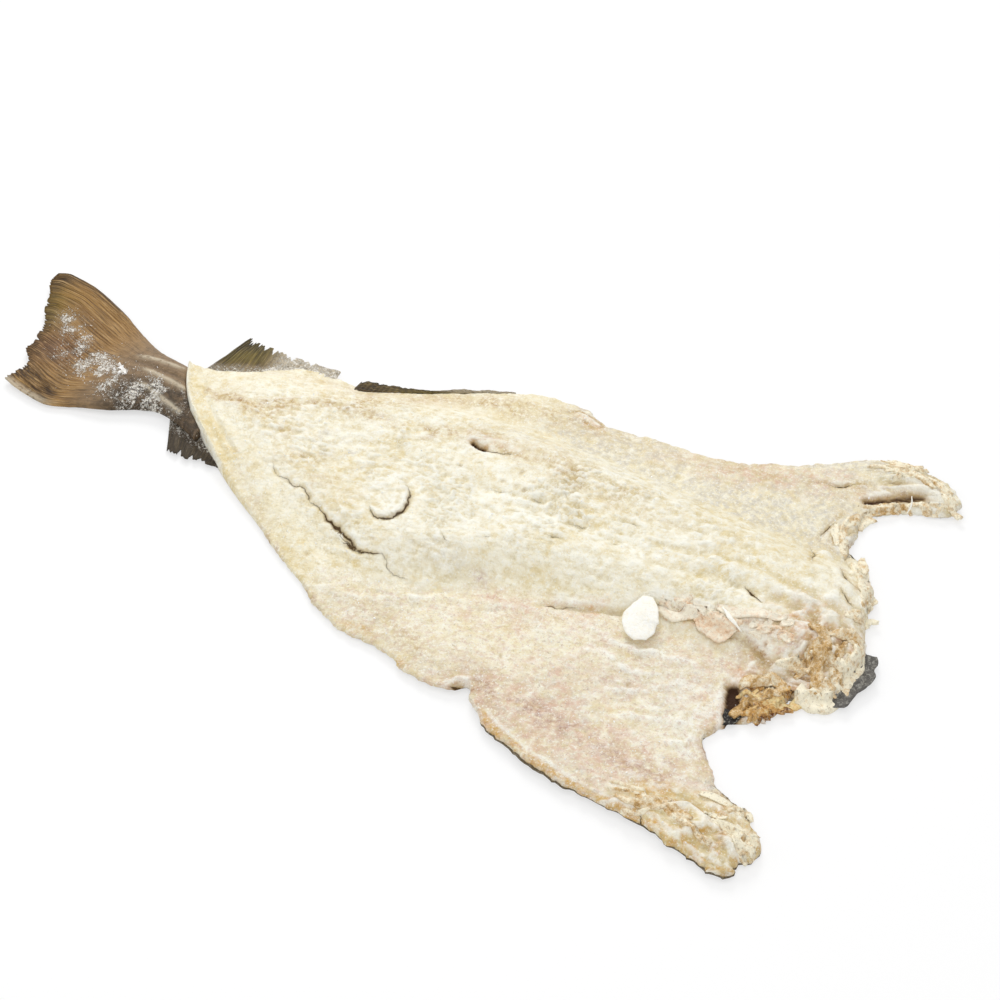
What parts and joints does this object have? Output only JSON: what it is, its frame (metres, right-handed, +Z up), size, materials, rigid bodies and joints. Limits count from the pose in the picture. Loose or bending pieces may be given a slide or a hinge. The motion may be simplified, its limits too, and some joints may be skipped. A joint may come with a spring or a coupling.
{
  "type": "salted dried cod",
  "caption": "Whole salted dried cod without its head, split open and laid flat, flesh side up, with its tail fin and fins still on.",
  "frame": {"origin": "centre of the bounding box's base, where the underside rests", "axes": "+X along the fish from the tail to the nape, +Y towards the belly edge that carries the anal fins, +Z up out of the flesh"},
  "size_m": [0.7022, 0.3792, 0.0277],
  "materials": {
    "flesh": "dry salted fish flesh, matte",
    "skin": "dried scaly fish skin, satin",
    "fins": "dried fin membrane and rays, satin",
    "salt": "coarse salt crystals, matte"
  },
  "bodies": {
    "root": {"salted_cod": "flesh"}
  },
  "joints": []
}
